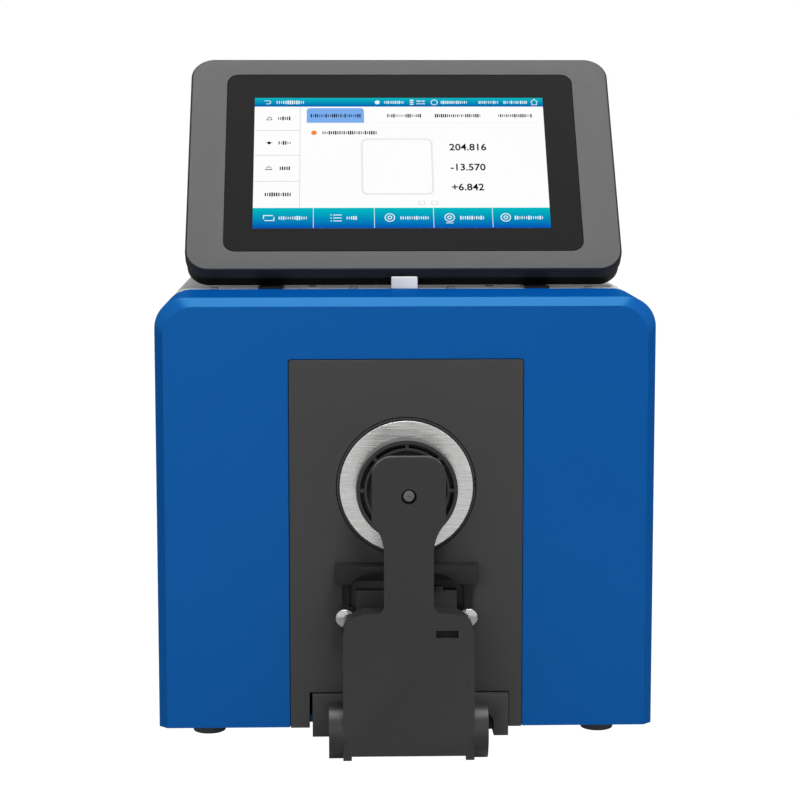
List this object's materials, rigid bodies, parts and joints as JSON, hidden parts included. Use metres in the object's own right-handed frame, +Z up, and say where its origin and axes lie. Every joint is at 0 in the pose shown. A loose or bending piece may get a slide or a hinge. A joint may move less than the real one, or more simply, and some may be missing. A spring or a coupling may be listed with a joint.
{
  "type": "benchtop spectrophotometer",
  "caption": "Benchtop spectrophotometer with a blue front frame, a sprung sample arm that closes a round port, and a tilting touch display on its grey case.",
  "frame": {"origin": "centre of the bounding box's base, on the bench under the feet", "axes": "+X to the right as one faces the port, +Y from the port to the rear panel, +Z up"},
  "size_m": [0.244, 0.436, 0.3429],
  "materials": {
    "blue_paint": "satin",
    "dark_panel": "matte",
    "brushed_silver": "brushed",
    "port_white": "matte",
    "satin_black": "satin",
    "black_plastic": "matte",
    "bright_steel": "polished",
    "dull_steel": "satin",
    "arm_plastic": "satin",
    "light_grey_paint": "satin",
    "zinc_plate": "zinc plated",
    "foot_rubber": "matte",
    "display_grey": "satin",
    "cover_glass": "gloss",
    "lcd_white": "gloss",
    "circuit_green": "gloss",
    "sphere_alloy": "machined",
    "grating_mirror": "mirror",
    "seal_foam": "foam"
  },
  "bodies": {
    "instrument": {"front_frame": "blue_paint", "front_panel": "dark_panel", "aperture_seat": "black_plastic", "port_collar": "port_white", "sample_rest": "satin_black", "rest_block": "satin_black", "hinge_bracket": "dark_panel", "arm_hinge_shaft": "dull_steel", "torsion_spring_left": "dull_steel", "torsion_spring_right": "dull_steel", "top_cover": "light_grey_paint", "base_plate": "zinc_plate", "rear_panel": "light_grey_paint", "foot_front_left": "foot_rubber", "foot_front_right": "foot_rubber", "foot_rear_left": "foot_rubber", "foot_rear_right": "foot_rubber", "display_foot_left": "black_plastic", "display_foot_right": "black_plastic", "cable_duct": "light_grey_paint", "lid_hinge": "dull_steel", "lid_pin": "dull_steel", "chamber_liner": "black_plastic", "cuvette_holder": "black_plastic", "sphere_front_half": "sphere_alloy", "sphere_rear_half": "sphere_alloy", "sphere_stand": "black_plastic", "beam_tube": "black_plastic", "lens_tube": "black_plastic", "lamp_module": "black_plastic", "camera_module": "black_plastic", "spectrometer_case": "sphere_alloy", "grating": "grating_mirror", "detector_board": "circuit_green", "main_board": "circuit_green", "power_supply": "sphere_alloy", "power_inlet": "black_plastic", "usb_socket": "black_plastic", "serial_socket": "black_plastic", "rocker_frame": "black_plastic"},
    "sample_arm": {"arm_cover": "arm_plastic", "arm_frame": "dull_steel", "clamp_spring": "dull_steel"},
    "clamp": {"clamp_disc": "satin_black", "clamp_spindle": "dull_steel", "clamp_screw": "dull_steel"},
    "aperture_ring": {"aperture_plate": "brushed_silver"},
    "display_head": {"display_bezel": "display_grey", "display_glass": "cover_glass", "lcd_panel": "lcd_white", "display_board": "circuit_green", "display_back_shell": "black_plastic", "display_leaf_left": "dull_steel", "display_leaf_right": "dull_steel"},
    "lid": {"compartment_lid": "light_grey_paint", "lid_seal": "seal_foam"},
    "left_rest_knob": {"rest_knob_left": "bright_steel"},
    "right_rest_knob": {"rest_knob_right": "bright_steel"},
    "rocker": {"power_rocker": "black_plastic"}
  },
  "joints": [
    {"name": "arm_hinge", "type": "hinge", "parent": "instrument", "child": "sample_arm", "pos_m": [0, -0.20464, 0.0187], "axis": [1, 0, 0], "range_deg": [0, 85], "stiffness_Nm_per_rad": 0.25, "springref_deg": -34.38},
    {"name": "clamp_slide", "type": "slide", "parent": "sample_arm", "child": "clamp", "axis": [0, -1, 0], "range_m": [0, 0.0025], "stiffness_N_per_m": 800, "springref_m": -0.002, "deforming": ["clamp_spring"]},
    {"name": "aperture_twist", "type": "hinge", "parent": "instrument", "child": "aperture_ring", "pos_m": [0, -0.17634, 0.1328], "axis": [0, -1, 0], "range_deg": [0, 30]},
    {"name": "display_tilt", "type": "hinge", "parent": "instrument", "child": "display_head", "pos_m": [0.0011, -0.09248, 0.23069], "axis": [1, 0, 0], "range_deg": [-50, 0]},
    {"name": "lid_hinge_axis", "type": "hinge", "parent": "instrument", "child": "lid", "pos_m": [0, 0.13916, 0.229], "axis": [-1, 0, 0], "range_deg": [0, 100]},
    {"name": "left_knob_turn", "type": "hinge", "parent": "instrument", "child": "left_rest_knob", "pos_m": [-0.0302, -0.17634, 0.0693], "axis": [0, 1, 0], "range_deg": [0, 90]},
    {"name": "right_knob_turn", "type": "hinge", "parent": "instrument", "child": "right_rest_knob", "pos_m": [0.0302, -0.17634, 0.0693], "axis": [0, 1, 0], "range_deg": [0, 90]},
    {"name": "rocker_tip", "type": "hinge", "parent": "instrument", "child": "rocker", "pos_m": [-0.052, 0.21066, 0.0385], "axis": [1, 0, 0], "range_deg": [0, 20]}
  ]
}
